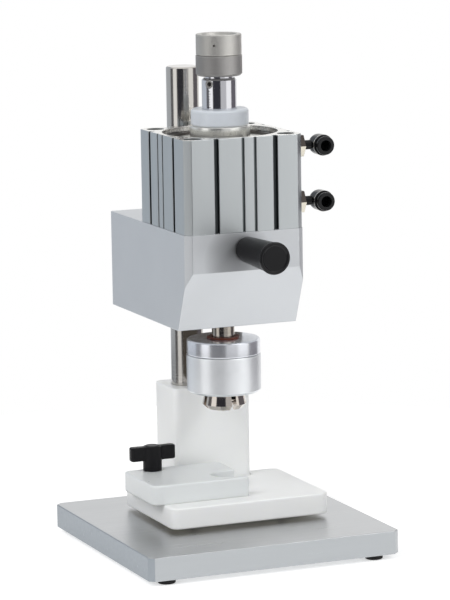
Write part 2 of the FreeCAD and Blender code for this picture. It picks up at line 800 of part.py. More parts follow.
# Collet jaws: one turned profile, cut into equal fingers by the slots between them
jaw_waist = jaw_tip + jaw_waist_rise
jaw_shank = jaw_tip + jaw_shank_rise
bead_bottom = lip_top + jaw_bead_gap
jaw_top = holder_flange_bottom - jaw_top_gap
collet = turned_on_ram([
    (jaw_hook_radius, jaw_tip), (jaw_tip_radius, jaw_tip),
    (jaw_lip_radius, jaw_tip + jaw_lip_rise), (jaw_waist_radius, jaw_waist),
    (jaw_shank_radius, jaw_shank), (jaw_shank_radius, bead_bottom),
    (jaw_bead_radius, bead_bottom), (jaw_bead_radius, jaw_top), (jaw_inner_radius, jaw_top),
    (jaw_inner_radius, jaw_tip + jaw_hook_rise + jaw_hook_ramp),
    (jaw_hook_radius, jaw_tip + jaw_hook_rise)])
jaw_step = 360.0 / jaw_count
for index in range(jaw_count):
    azimuth = jaw_first_azimuth + jaw_step * index
    wedge_reach = 2 * jaw_lip_radius
    wedge_tip = jaw_slot / 2 / math.sin(math.radians(jaw_step / 2))
    wedge_points = [around_ram(wedge_tip, azimuth, jaw_tip)]
    for side in (-1, 1):
        wedge_far = around_ram(wedge_reach, azimuth + side * jaw_step / 2, jaw_tip)
        wedge_points.append(wedge_far + wedge_points[0] - V(0, ram_y, jaw_tip))
    wedge_points.append(wedge_points[0])
    wedge = Part.Face(Part.makePolygon(wedge_points)).extrude(UP * (jaw_top - jaw_tip))
    keep("jaw_%d" % (index + 1), collet.common(wedge))

# Knurled closing sleeve, its lock ring and the brown bush between lock ring and spindle
spigot_bore = lock_ring_spigot_radius
keep("closing_sleeve", turned_on_ram([
    (mouth_radius, sleeve_bottom), (sleeve_radius - sleeve_bevel, sleeve_bottom),
    (sleeve_radius, sleeve_bottom + sleeve_bevel), (sleeve_radius, sleeve_top - fine_break),
    (sleeve_radius - fine_break, sleeve_top), (spigot_bore, sleeve_top),
    (spigot_bore, lock_ring_seat), (sleeve_bore, lock_ring_seat), (sleeve_bore, lip_height),
    (mouth_radius, lip_height)]))
keep("lock_ring", turned_on_ram([
    (ring_bush_radius, lock_ring_seat), (spigot_bore, lock_ring_seat),
    (spigot_bore, sleeve_top), (lock_ring_radius - fine_break, sleeve_top),
    (lock_ring_radius, sleeve_top + fine_break), (lock_ring_radius, lock_ring_top - edge_break),
    (lock_ring_radius - edge_break, lock_ring_top), (ring_bush_radius, lock_ring_top)]))
bush_bore = spindle_radius + running_gap
keep("lock_ring_bush", turned_on_ram([
    (bush_bore, lock_ring_seat), (ring_bush_radius, lock_ring_seat),
    (ring_bush_radius, lock_ring_top), (ring_bush_flange, lock_ring_top),
    (ring_bush_flange, bush_top), (bush_bore, bush_top)]))


def folded_spring(inner, outer, web, low, high, folds):
    # Cupped washers stacked mouth to mouth, drawn as one folded wall
    rise = (high - low) / folds
    inside = []
    outside = []
    for index in range(folds + 1):
        radius = inner if index % 2 == 0 else outer - web
        inside.append((radius, low + index * rise))
        outside.append((radius + web, low + index * rise))
    outside.reverse()
    return turned_on_ram(inside + outside)


keep("sleeve_spring", folded_spring(spring_inner, spring_outer, spring_web,
                                    holder_flange_top, lock_ring_seat, spring_folds))

# Spring-loaded pad that holds the cap while the jaws close on it
pad_bottom = jaw_tip + pad_rise
pad_top = pad_bottom + pad_height
keep("pressure_pad", turned_on_ram([
    (0, pad_bottom), (pad_radius - fine_break, pad_bottom), (pad_radius, pad_bottom + fine_break),
    (pad_radius, pad_top), (pad_stem_radius, pad_top), (pad_stem_radius, pad_stem_top),
    (0, pad_stem_top)]))
keep("pad_spring", folded_spring(pad_stem_radius + parting_gap, pad_spring_outer, pad_spring_web,
                                 pad_top, spindle_thread_bottom, pad_spring_folds))

# Revolving grip: a taper with a beaded end round a sunk face, on a pin with a captive head
grip_start = grip_stand_off
grip_full = grip_stand_off + grip_length
grip_bore = grip_pin_radius + running_gap
grip_pocket = grip_pin_head_radius + running_gap
pocket_far = grip_full - grip_pin_sink
pocket_near = pocket_far - grip_pin_head - 2 * parting_gap
grip_foot = V(0, head_front, grip_z)
grip_bead_arc = []
for degrees in range(grip_bead_low, grip_bead_high + 1, grip_bead_step):
    turn = math.radians(degrees)
    grip_bead_arc.append((grip_end_radius - grip_bead + grip_bead * math.cos(turn),
                          grip_full - grip_bead + grip_bead * math.sin(turn)))
keep("grip", turned([
    (grip_bore, grip_start), (grip_root_radius - fine_break, grip_start),
    (grip_root_radius, grip_start + fine_break)] + grip_bead_arc + [
    (0, grip_bead_arc[-1][1]), (0, pocket_far),
    (grip_pocket, pocket_far), (grip_pocket, pocket_near), (grip_bore, pocket_near)],
    grip_foot, FRONT))
pin_head_near = pocket_near + parting_gap
pin_head_far = pin_head_near + grip_pin_head
keep("grip_pin", turned([
    (0, -grip_pin_thread), (grip_pin_thread_radius, -grip_pin_thread),
    (grip_pin_thread_radius, 0), (grip_pin_radius, 0), (grip_pin_radius, pin_head_near),
    (grip_pin_head_radius, pin_head_near), (grip_pin_head_radius, pin_head_far),
    (0, pin_head_far)], grip_foot, FRONT))

# Push-in elbows: a hexagonal reducer and stem stay put, the black elbow swivels on the stem
ring_bore = tube_radius + tube_play
skirt_bore = release_skirt_radius + tube_play
release_back = elbow_mouth_y - release_gap
skirt_end = release_back + release_skirt
skirt_floor = skirt_end + release_travel + running_gap
stub_start = stem_end + elbow_stub_gap
adapters = []
stems = []
for name, level in (("upper", port_upper_z), ("lower", port_lower_z)):
    port = V(cylinder_half, port_y, level)
    adapter = cylinder(port_radius, port - RIGHT * port_depth, port_depth, RIGHT)
    adapter = adapter.fuse(hexagon(adapter_flats, port, adapter_length, RIGHT))
    adapter = adapter.cut(cylinder(stem_root_radius + thread_gap, port - RIGHT * port_depth,
                                   port_depth + adapter_length, RIGHT))
    adapters.append(adapter.removeSplitter())
    hex_foot = V(adapter_end, port_y, level)
    stem = hexagon(stem_flats, hex_foot, stem_hex_length, RIGHT)
    stem = stem.fuse(cylinder(stem_root_radius, hex_foot - RIGHT * stem_root, stem_root, RIGHT))
    stem = stem.fuse(cylinder(stem_neck_radius, hex_foot, stem_tip - adapter_end, RIGHT))
    stem = stem.cut(cylinder(stem_bore_radius, hex_foot - RIGHT * stem_root,
                             stem_tip - adapter_end + stem_root, RIGHT))
    stems.append(stem.removeSplitter())
    centre = V(elbow_axis_x, port_y, level)
    mouth = V(elbow_axis_x, elbow_mouth_y, level)
    elbow = cylinder(elbow_radius, centre, elbow_front, FRONT)
    elbow = elbow.fuse(Part.makeSphere(elbow_radius, centre))
    stub = V(stub_start, port_y, level)
    elbow = elbow.fuse(cylinder(elbow_stub_radius, stub, elbow_axis_x - stub_start, RIGHT))
    elbow = elbow.removeSplitter()
    elbow = elbow.cut(cylinder(stem_neck_radius + running_gap, stub,
                               stem_tip - stub_start + running_gap, RIGHT))
    elbow = elbow.cut(cylinder(stem_bore_radius, stub, elbow_axis_x - stub_start, RIGHT))
    elbow = elbow.cut(cylinder(skirt_bore, mouth, skirt_floor - elbow_mouth_y, FRONT * -1))
    elbow = elbow.cut(cylinder(ring_bore, mouth, skirt_floor + tube_stop - elbow_mouth_y,
                               FRONT * -1))
    keep("elbow_%s" % name, elbow)
    flange = V(elbow_axis_x, release_back, level)
    release = turned([(ring_bore, 0), (release_flange_radius - fine_break, 0),
                      (release_flange_radius, fine_break),
                      (release_flange_radius, release_flange), (release_skirt_radius,
                                                                release_flange),
                      (release_skirt_radius, release_flange + release_skirt),
                      (ring_bore, release_flange + release_skirt)],
                     flange + FRONT * release_flange, FRONT * -1)
    keep("release_ring_%s" % name, release)
keep("port_adapters", Part.makeCompound(adapters))
keep("elbow_stems", Part.makeCompound(stems))

# Hollow the foot of the spindle for the pad's stem
spindle_bore = cylinder(pad_stem_radius + running_gap, V(0, ram_y, spindle_thread_bottom),
                        pad_stem_top + pad_travel + fine_break - spindle_thread_bottom)
keep("spindle", parts["spindle"].cut(spindle_bore))

os.makedirs("parts", exist_ok=True)
for name in sorted(parts):
    parts[name].exportStep("parts/%s.step" % name)
print("%d parts written" % len(parts))
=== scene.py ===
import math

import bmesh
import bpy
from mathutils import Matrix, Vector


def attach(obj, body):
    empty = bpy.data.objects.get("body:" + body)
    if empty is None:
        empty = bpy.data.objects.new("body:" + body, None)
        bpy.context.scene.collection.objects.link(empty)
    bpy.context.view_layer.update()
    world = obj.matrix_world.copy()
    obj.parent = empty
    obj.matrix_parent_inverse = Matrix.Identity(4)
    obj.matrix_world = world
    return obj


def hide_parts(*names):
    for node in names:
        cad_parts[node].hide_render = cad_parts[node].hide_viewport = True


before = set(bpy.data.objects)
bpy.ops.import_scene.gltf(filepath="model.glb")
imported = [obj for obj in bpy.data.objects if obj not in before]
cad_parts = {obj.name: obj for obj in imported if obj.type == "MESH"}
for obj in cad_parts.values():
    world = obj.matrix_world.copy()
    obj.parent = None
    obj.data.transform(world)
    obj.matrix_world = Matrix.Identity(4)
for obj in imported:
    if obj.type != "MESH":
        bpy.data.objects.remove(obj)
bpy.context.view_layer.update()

# %% [markdown]
# # A tabletop capping machine
#
# The machine crimps metal closures by air pressure. A cylinder drives a ram down, and a
# collet at the foot of the ram closes round the work. We start from the engineer's solids,
# which are already in place, and dress them: some solids only need a good surface, and
# others give way to finer pieces that we build here.

# %% [markdown]
# ## Camera
#
# The picture was taken with a long lens from a little above, and from the left. We solved
# for the camera from the corners of the square base, so we set its axes as a matrix instead
# of aiming it by eye. A tracking constraint would be easier, but it can't hold the slight
# roll that the picture has.

# %% Camera
MM = 0.001
camera_azimuth = math.radians(-22.600)
camera_elevation = math.radians(9.448)
camera_roll = math.radians(-0.9076)
camera_place = Vector((-958.5, -2311.2, 604.8)) * MM
film_height = 36.0
image_height = 600
focal_pixels = 3378.88

toward_camera = Vector((math.sin(camera_azimuth) * math.cos(camera_elevation),
                        -math.cos(camera_azimuth) * math.cos(camera_elevation),
                        math.sin(camera_elevation)))
level_right = Vector((math.cos(camera_azimuth), math.sin(camera_azimuth), 0.0))
level_up = toward_camera.cross(level_right)
image_right = math.cos(camera_roll) * level_right + math.sin(camera_roll) * level_up
image_up = -math.sin(camera_roll) * level_right + math.cos(camera_roll) * level_up

camera = bpy.data.objects.new("camera", bpy.data.cameras.new("camera"))
bpy.context.scene.collection.objects.link(camera)
camera.data.sensor_fit = "AUTO"
camera.data.sensor_width = film_height
camera.data.lens = focal_pixels * film_height / image_height
camera.data.clip_end = 30.0
axes = Matrix((image_right, image_up, toward_camera)).transposed().to_4x4()
camera.matrix_world = Matrix.Translation(camera_place) @ axes
bpy.context.scene.camera = camera
bpy.context.scene.view_settings.view_transform = "Standard"
print("lens %.1f mm" % camera.data.lens)

# %% [markdown]
# ## Building a surface out of nodes
#
# Every finish below is a small node tree. Writing `nodes.new` and `links.new` over and over
# hides the idea, so one short class keeps the tree and gives us a word for each kind of node
# that we use. The coordinates are the object's own, in metres, so a grain of half a
# millimetre is the same size on every piece.

# %% A finish and its nodes
class Finish:
    def __init__(self, name, colour, metallic=0.0, roughness=0.5, **sockets):
        self.material = bpy.data.materials.new(name)
        self.material.use_nodes = True
        self.nodes = self.material.node_tree.nodes
        self.links = self.material.node_tree.links
        self.surface = self.nodes["Principled BSDF"]
        self.surface.inputs["Base Color"].default_value = (*colour, 1.0)
        self.surface.inputs["Metallic"].default_value = metallic
        self.surface.inputs["Roughness"].default_value = roughness
        for socket, value in sockets.items():
            self.surface.inputs[socket.replace("_", " ")].default_value = value
        self.place = self.nodes.new("ShaderNodeTexCoord").outputs["Object"]

    def node(self, kind, inputs=None, **settings):
        node = self.nodes.new(kind)
        for key, value in settings.items():
            setattr(node, key, value)
        for key, value in (inputs or {}).items():
            if isinstance(value, bpy.types.NodeSocket):
                self.links.new(value, node.inputs[key])
            else:
                node.inputs[key].default_value = value
        return node

    def noise(self, per_metre, stretch=(1, 1, 1), detail=3.0, rough=0.55):
        scaled = self.node("ShaderNodeMapping", {"Vector": self.place, "Scale": stretch})
        noise = self.node("ShaderNodeTexNoise", {"Vector": scaled.outputs[0],
                                                 "Scale": per_metre, "Detail": detail,
                                                 "Roughness": rough})
        return noise.outputs["Fac"]

    def span(self, value, low, high, start=0.3, end=0.7):
        ranged = self.node("ShaderNodeMapRange", {"Value": value, "From Min": start,
                                                  "From Max": end, "To Min": low,
                                                  "To Max": high})
        return ranged.outputs[0]

    def sum(self, first, second, operation="ADD"):
        return self.node("ShaderNodeMath", {0: first, 1: second}, operation=operation).outputs[0]

    def tint(self, value, dark, light):
        mix = self.node("ShaderNodeMix", {"Factor": value}, data_type="RGBA")
        mix.inputs["A"].default_value = (*dark, 1.0)
        mix.inputs["B"].default_value = (*light, 1.0)
        self.links.new(mix.outputs["Result"], self.surface.inputs["Base Color"])
        return mix

    def gloss(self, value):
        self.links.new(value, self.surface.inputs["Roughness"])

    def relief(self, height, depth_mm, strength=1.0):
        bump = self.node("ShaderNodeBump", {"Height": height, "Distance": depth_mm * MM,
                                            "Strength": strength})
        self.links.new(bump.outputs[0], self.surface.inputs["Normal"])
        return bump


finishes = {}


def finish(name, *colour_and_more, **sockets):
    made = Finish(name, *colour_and_more, **sockets)
    finishes[name] = made.material
    return made


print("finish helper ready")

# %% [markdown]
# ## Brushed aluminium for the base plate
#
# The base is a plate of rolled aluminium, rubbed along its length with a belt. That leaves
# streaks a few tenths of a millimetre wide and many centimetres long. Noise squeezed along
# one axis gives the streaks, and they change the roughness more than the colour, because a
# streak is seen by how it spreads the light.

# %% Brushed aluminium
brushed = finish("brushed_aluminium", (0.70, 0.71, 0.72), 1.0, 0.36)
streaks = brushed.noise(420.0, (0.03, 1.0, 1.0), 4.0, 0.6)
clouds = brushed.noise(14.0, (1.0, 1.0, 1.0), 2.0)
rubbed = brushed.sum(streaks, clouds, "MULTIPLY")
# Painted shade: the side faces are painted darker than the top, and the sides that face left are
# darker and bluer still, as the light falls on them.
facing = brushed.node("ShaderNodeSeparateXYZ", {
    "Vector": brushed.node("ShaderNodeNewGeometry").outputs["Normal"]})
painted_side_shade = brushed.span(facing.outputs["Z"], 1.0, 0.0, 0.2, 0.8)
painted_left_shade = brushed.span(facing.outputs["X"], 1.0, 0.0, -0.8, -0.2)
top_colour = brushed.tint(rubbed, (0.51, 0.52, 0.53), (0.62, 0.63, 0.635))
side_colour = brushed.tint(painted_left_shade, (0.44, 0.46, 0.475), (0.29, 0.32, 0.35))
all_colours = brushed.tint(painted_side_shade, (0.60, 0.60, 0.60), (0.45, 0.45, 0.45))
brushed.links.new(top_colour.outputs["Result"], all_colours.inputs["A"])
brushed.links.new(side_colour.outputs["Result"], all_colours.inputs["B"])
brushed.gloss(brushed.span(streaks, 0.27, 0.38))
brushed.relief(streaks, 0.006, 0.5)
print("brushed aluminium")

# %% [markdown]
# ## Blasted aluminium for the head block
#
# Glass beads leave a skin of tiny dimples that looks even and slightly soft. A fine noise in
# all directions, with a little relief and a high roughness, is enough. The upright front
# catches less of the floor's light than the slanted one, and round the root of the grip it
# is darker still, so we tint it by the way it faces and by its distance from the grip.

# %% Blasted aluminium
blasted = finish("blasted_aluminium", (0.62, 0.64, 0.66), 0.72, 0.42)
dimples = blasted.noise(2600.0, detail=2.0)
patches = blasted.noise(22.0, detail=3.0)
plain_colour = blasted.tint(patches, (0.62, 0.64, 0.665), (0.67, 0.69, 0.71))
facing = blasted.node("ShaderNodeSeparateXYZ", {
    "Vector": blasted.node("ShaderNodeNewGeometry").outputs["Normal"]})
upright_front = blasted.span(facing.outputs["Y"], 1.0, 0.0, -0.99, -0.95)
shade_x = -6.0 * MM
shade_z = 226.0 * MM
shade_reach = 28.0 * MM
spot = blasted.node("ShaderNodeSeparateXYZ", {"Vector": blasted.place})
aside = blasted.sum(spot.outputs["X"], shade_x, "SUBTRACT")
above = blasted.sum(spot.outputs["Z"], shade_z, "SUBTRACT")
from_grip = blasted.sum(blasted.sum(aside, aside, "MULTIPLY"),
                        blasted.sum(above, above, "MULTIPLY"))
shade = blasted.sum(blasted.span(from_grip, 0.78, 0.06, 0.0, shade_reach ** 2), upright_front,
                    "MULTIPLY")
front_colour = blasted.tint(shade, (0.62, 0.64, 0.665), (0.22, 0.225, 0.235))
blasted.links.new(plain_colour.outputs["Result"], front_colour.inputs["A"])
blasted.gloss(blasted.span(dimples, 0.38, 0.46))
blasted.relief(dimples, 0.02, 0.5)
print("blasted aluminium")

# %% [markdown]
# ## Drawn and anodised aluminium for the cylinder
#
# The cylinder body is pushed through a die, so its fine lines run along the height. The
# slots for sensors look almost black in the picture, since little light reaches their
# floors. We darken those walls by place: a spot near a side face, but outside the round
# recess, belongs to a slot. The top and the recess are turned after the anodising, so they
# are bare and brighter.

# %% Anodised aluminium
ram_y = -4.0 * MM
slot_starts = 46.7 * MM
slot_is_dark = 46.1 * MM
recess_wall = 44.5 * MM
chamfer_starts = 88.2 * MM
anodised = finish("anodised_aluminium", (0.55, 0.58, 0.59), 1.0, 0.38)
draw_lines = anodised.noise(900.0, (1.0, 1.0, 0.012), 3.0, 0.6)
anodised.relief(draw_lines, 0.015, 0.6)
parts_of_place = anodised.node("ShaderNodeSeparateXYZ", {"Vector": anodised.place})
across = anodised.sum(parts_of_place.outputs["X"], 0.0, "ABSOLUTE")
deep = anodised.sum(anodised.sum(parts_of_place.outputs["Y"], ram_y, "SUBTRACT"), 0.0,
                    "ABSOLUTE")
from_side = anodised.sum(across, deep, "MAXIMUM")
inside_side = anodised.span(from_side, 1.0, 0.0, slot_is_dark, slot_starts)
radius_squared = anodised.sum(anodised.sum(across, across, "MULTIPLY"),
                              anodised.sum(deep, deep, "MULTIPLY"))
outside_recess = anodised.span(radius_squared, 0.0, 1.0, recess_wall ** 2,
                               (recess_wall + 0.2 * MM) ** 2)
normal = anodised.node("ShaderNodeNewGeometry").outputs["Normal"]
normal_parts = anodised.node("ShaderNodeSeparateXYZ", {"Vector": normal})
upright = anodised.span(anodised.sum(normal_parts.outputs["Z"], 0.0, "ABSOLUTE"), 1.0, 0.0,
                        0.3, 0.5)
off_chamfer = anodised.span(anodised.sum(across, deep), 1.0, 0.0, chamfer_starts,
                            chamfer_starts + 0.4 * MM)
in_slot = anodised.sum(anodised.sum(inside_side, outside_recess, "MULTIPLY"),
                       anodised.sum(upright, off_chamfer, "MULTIPLY"), "MULTIPLY")
turned_face = anodised.sum(anodised.span(normal_parts.outputs["Z"], 0.0, 1.0, 0.6, 0.9),
                           anodised.sum(1.0, outside_recess, "SUBTRACT"), "MAXIMUM")
drawn_colour = anodised.tint(in_slot, (0.56, 0.59, 0.60), (0.13, 0.145, 0.15))
body_colour = anodised.tint(turned_face, (0.56, 0.59, 0.60), (0.86, 0.85, 0.82))
anodised.links.new(drawn_colour.outputs["Result"], body_colour.inputs["A"])
anodised.gloss(anodised.sum(anodised.span(draw_lines, 0.33, 0.44),
                            anodised.span(turned_face, 0.0, -0.12, 0.0, 1.0)))
print("anodised aluminium")

# %% [markdown]
# ## Polished and chromed steel
#
# The column is ground and polished, and the rod and the jaws are chromed. Both show the room
# as tall bright and dark bands. A very low roughness does that, and faint rings round the
# axis keep the bands from looking computed. The lapped rings carry fine circles that smear
# each reflection along the height, and an anisotropic surface gives that smear.

# %% Polished steels
for name, colour, roughness in (("polished_steel", (0.58, 0.56, 0.53), 0.14),
                                ("chromed_steel", (0.72, 0.72, 0.75), 0.11),
                                ("jaw_chrome", (0.62, 0.57, 0.52), 0.10),
                                ("spindle_steel", (0.46, 0.42, 0.37), 0.16),
                                ("turned_aluminium", (0.86, 0.86, 0.83), 0.36)):
    polished = finish(name, colour, 1.0, roughness)
    rings = polished.noise(2600.0, (0.02, 0.02, 1.0), 3.0)
    polished.gloss(polished.span(rings, roughness * 0.8, roughness * 1.35))
    polished.relief(rings, 0.0008, 0.4)
    print(name)
for name, colour, metal, roughness in (("polished_aluminium", (0.86, 0.88, 0.93), 0.82, 0.18),
                                       ("collar_aluminium", (0.88, 0.88, 0.85), 0.85, 0.20)):
    lapped = finish(name, colour, metal, roughness, Anisotropic=0.75)
    lapped.gloss(lapped.span(lapped.noise(700.0, (0.02, 0.02, 1.0), 2.0), roughness * 0.9,
                             roughness * 1.1, 0.1, 0.9))
    around = lapped.node("ShaderNodeTangent", direction_type="RADIAL", axis="Z")
    lapped.links.new(around.outputs[0], lapped.surface.inputs["Tangent"])
    print(name)

# %% [markdown]
# ## Satin, dark and plated steels
#
# The two nuts and the closing sleeve are cut with a knurl and left satin, so they need only a
# soft metal: the pattern is real geometry. Screws, springs and plated fittings are the same
# tree with another colour.

# %% Satin steels
for name, colour, roughness in (("satin_steel", (0.44, 0.43, 0.42), 0.58),
                                ("pale_steel", (0.63, 0.62, 0.59), 0.55),
                                ("sleeve_steel", (0.84, 0.86, 0.88), 0.38),
                                ("dark_steel", (0.16, 0.15, 0.14), 0.30),
                                ("screw_steel", (0.30, 0.30, 0.31), 0.34),
                                ("bright_steel", (0.60, 0.59, 0.56), 0.30),
                                ("spring_steel", (0.40, 0.40, 0.41), 0.28)):
    satin = finish(name, colour, 1.0, roughness)
    grain = satin.noise(1800.0, detail=3.0)
    wear = satin.noise(60.0, detail=2.0)
    satin.tint(wear, [part * 0.90 for part in colour], [part * 1.08 for part in colour])
    satin.gloss(satin.span(grain, roughness * 0.85, roughness * 1.2))
    satin.relief(grain, 0.008, 0.5)
    print(name)
plated = finish("nickel", (0.62, 0.58, 0.50), 1.0, 0.22)
plated.gloss(plated.span(plated.noise(120.0), 0.18, 0.26, 0.1, 0.9))
# Painted shade: the facets that look up are painted nearly black, where the elbow bodies shade
# them.
plated_facing = plated.node("ShaderNodeSeparateXYZ", {
    "Vector": plated.node("ShaderNodeNewGeometry").outputs["Normal"]})
plated.tint(plated.span(plated_facing.outputs["Z"], 1.0, 0.0, 0.1, 0.4), (0.07, 0.06, 0.055),
            (0.66, 0.62, 0.53))
print("nickel, plated smooth, with painted shade on the facets that look up")

# %% [markdown]
# ## White polymers
#
# The nest plates and the block behind them are milled from a white plastic that lets a
# little light in, so its edges look soft. Subsurface scattering gives that softness, and a
# faint swirl of milling marks keeps the big faces from looking empty. Light that leaks down
# through a plate warms the narrow gap below it, and a weak glow on the faces that look down
# stands in for it. The buffer ring is a harder, bluer white.

# %% White polymers
# The second, darker copy of the white plastic is for the upper nest plate: painted shade from the
# head and the T-handle above it.
for name, colour, roughness, reach in (("white_polymer", (0.925, 0.94, 0.935), 0.30, 3.0),
                                       ("painted_shade_polymer", (0.77, 0.795, 0.80), 0.30, 3.0),
                                       ("white_acetal", (0.66, 0.70, 0.75), 0.34, 1.5)):
    polymer = finish(name, colour, 0.0, roughness, Subsurface_Weight=0.35,
                     Subsurface_Scale=reach * MM, Specular_IOR_Level=0.45)
    polymer.surface.inputs["Subsurface Radius"].default_value = (1.0, 1.0, 1.1)
    milling = polymer.noise(150.0, (1.0, 0.3, 1.0), 1.0)
    cloud = polymer.noise(30.0, detail=2.0)
    polymer.tint(cloud, [part * 0.965 for part in colour], [part * 1.02 for part in colour])
    polymer.gloss(polymer.span(milling, roughness * 0.85, roughness * 1.2, 0.05, 0.95))
    polymer.relief(milling, 0.01, 0.3)
    under = polymer.node("ShaderNodeSeparateXYZ", {
        "Vector": polymer.node("ShaderNodeNewGeometry").outputs["Normal"]})
    polymer.links.new(polymer.span(under.outputs["Z"], 0.12, 0.0, -0.95, -0.4),
                      polymer.surface.inputs["Emission Strength"])
    polymer.surface.inputs["Emission Color"].default_value = (0.80, 0.74, 0.62, 1.0)
    print(name)

# %% [markdown]
# ## Black plastics and rubber
#
# The grip and the T-handle are moulded with a fine leather-like grain, the elbows are
# smoother, and the feet are plain rubber. None is truly black: a value near three per cent
# keeps their shape readable.

# %% Blacks
for name, colour, roughness, grain_size, depth in (
        ("black_plastic", (0.010, 0.010, 0.011), 0.34, 1500.0, 0.008),
        ("black_gloss", (0.009, 0.009, 0.010), 0.18, 700.0, 0.003),
        ("black_rubber", (0.014, 0.014, 0.014), 0.60, 900.0, 0.03),
        ("brown_bush", (0.15, 0.042, 0.026), 0.36, 700.0, 0.02),
        ("line_fill", (0.03, 0.03, 0.035), 0.6, 900.0, 0.01)):
    shine = 0.10 if name == "black_plastic" else 0.25
    black = finish(name, colour, 0.0, roughness, Specular_IOR_Level=shine)
    grain = black.noise(grain_size, detail=3.0)
    patches = black.noise(45.0, detail=2.0)
    black.tint(patches, [part * 0.85 for part in colour], [part * 1.25 for part in colour])
    black.gloss(black.span(grain, roughness * 0.85, roughness * 1.2))
    black.relief(grain, depth, 0.6)
    print(name)

# %% [markdown]
# ## Dressing the solids that stay
#
# Flat and drilled pieces already have the right shape, so they keep their solids and only
# get a finish. The list is written finish by finish, the way a workshop sorts its stock.

# %% Finishes on the solids
stock = {
    "brushed_aluminium": ["base_plate", "nest_spacer"],
    "blasted_aluminium": ["head_block"],
    "anodised_aluminium": ["cylinder_body", "piston"],
    "polished_steel": ["column"],
    "turned_aluminium": ["cylinder_cover"],
    "collar_aluminium": ["stop_collar"],
    "chromed_steel": ["stop_rod"],
    "jaw_chrome": ["jaw_1", "jaw_2", "jaw_3", "jaw_4"],
    "polished_aluminium": ["lock_ring"],
    "satin_steel": ["lock_nut", "stop_nut", "collet_holder"],
    "sleeve_steel": ["closing_sleeve"],
    "dark_steel": ["cover_circlip"],
    "spindle_steel": ["spindle"],
    "bright_steel": ["corner_screws"],
    "screw_steel": ["stop_rod_screw", "foot_screws", "column_bolt", "block_screws", "nest_screws",
                    "handle_stud", "clamp_screws", "grip_pin"],
    "spring_steel": ["sleeve_spring", "pad_spring"],
    "nickel": ["spindle_bush", "port_adapters", "elbow_stems"],
    "white_polymer": ["column_block", "nest_lower_plate", "nest_upper_plate"],
    "white_acetal": ["buffer_ring"],
    "black_plastic": ["t_handle", "grip", "pressure_pad"],
    "black_gloss": ["elbow_upper", "elbow_lower", "release_ring_upper", "release_ring_lower"],
    "black_rubber": ["rubber_feet", "rod_seal", "piston_seal"],
    "brown_bush": ["lock_ring_bush"],
}
for name, solids in stock.items():
    for solid in solids:
        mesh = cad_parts[solid].data
        mesh.materials.clear()
        mesh.materials.append(finishes[name])
print("%d solids dressed" % sum(len(solids) for solids in stock.values()))

# %% [markdown]
# ## Turning a piece on the lathe
#
# Most of the machine is round. A lathe spins a profile about an axis, and so do we: each
# profile is a list of (radius, height) pairs in millimetres, its corners are rounded first,
# and then it is swept round in many steps. Blender's Screw modifier does the same, but a
# direct sweep lets us cut a knurl into the wall while we make it.

# %% Rounding a profile
def rounded(profile, size, steps=3):
    """Put a small arc at each corner of a closed profile, with a point just before and after
    it that keeps the long walls flat in the shading."""
    soft = []
    count = len(profile)
    for index, corner in enumerate(profile):
        before = Vector(profile[index - 1])
        here = Vector(corner)
        after = Vector(profile[(index + 1) % count])
        if here.x < 1e-6:
            soft.append(tuple(here))
            continue
        toward = before - here
        away = after - here
        reach = min(size, 0.45 * toward.length, 0.45 * away.length)
        start = here + toward.normalized() * reach
        end = here + away.normalized() * reach
        soft.append(tuple(here + toward.normalized() * reach * 1.1))
        for step in range(steps + 1):
            t = step / steps
            soft.append(tuple((1 - t) ** 2 * start + 2 * t * (1 - t) * here + t ** 2 * end))
        soft.append(tuple(here + away.normalized() * reach * 1.1))
    return soft


print("a rounded square has", len(rounded([(1, 0), (2, 0), (2, 1), (1, 1)], 0.1)), "points")


# %% The lathe
def new_piece(name, mesh, body, material, replaces=()):
    piece = bpy.data.objects.new(name, mesh)
    bpy.context.scene.collection.objects.link(piece)
    mesh.materials.clear()
    mesh.materials.append(finishes[material])
    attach(piece, body)
    if replaces:
        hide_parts(*replaces)
    return piece


def axis_frame(axis):
    across_axis = Vector((1, 0, 0)) if abs(axis.x) < 0.5 else Vector((0, 0, 1))
    return across_axis, axis.cross(across_axis)


def turned_mesh(name, profile, foot, axis=(0, 0, 1), steps=96, knurl=None):
    """Spin a closed profile in millimetres about an axis through foot."""
    axis = Vector(axis)
    side, front = axis_frame(axis)
    foot = Vector(foot)
    verts = []
    rings = []
    for radius, height in profile:
        if radius < 1e-6:
            verts.append((foot + axis * height) * MM)
            rings.append([len(verts) - 1] * steps)
            continue
        ring = []
        for step in range(steps):
            angle = 2 * math.pi * step / steps
            reach = radius + (knurl(radius, height, angle) if knurl else 0.0)
            spot = foot + axis * height + side * reach * math.cos(angle)
            verts.append((spot + front * reach * math.sin(angle)) * MM)
            ring.append(len(verts) - 1)
        rings.append(ring)
    faces = []
    for index, ring in enumerate(rings):
        upper = rings[(index + 1) % len(rings)]
        for step in range(steps):
            following = (step + 1) % steps
            corners = []
            for corner in (ring[step], ring[following], upper[following], upper[step]):
                if corner not in corners:
                    corners.append(corner)
            if len(corners) > 2:
                faces.append(corners)
    mesh = bpy.data.meshes.new(name)
    mesh.from_pydata(verts, [], faces)
    return tidy_mesh(mesh)


def tidy_mesh(mesh, sharp_above=35.0):
    """Turn the faces outwards and shade smoothly except over sharp edges."""
    work = bmesh.new()
    work.from_mesh(mesh)
    bmesh.ops.recalc_face_normals(work, faces=work.faces)
    work.to_mesh(mesh)
    work.free()
    mesh.shade_smooth()
    mesh.set_sharp_from_angle(angle=math.radians(sharp_above))
    return mesh


def turned(name, profile, foot, body, material, slot, replaces=(), corner=0.3, **more):
    mesh = turned_mesh(name, rounded(profile, corner), foot, **more)
    piece = new_piece(name, mesh, body, material, replaces)
    print(name, len(mesh.polygons), "faces")
    return piece


print("lathe ready")

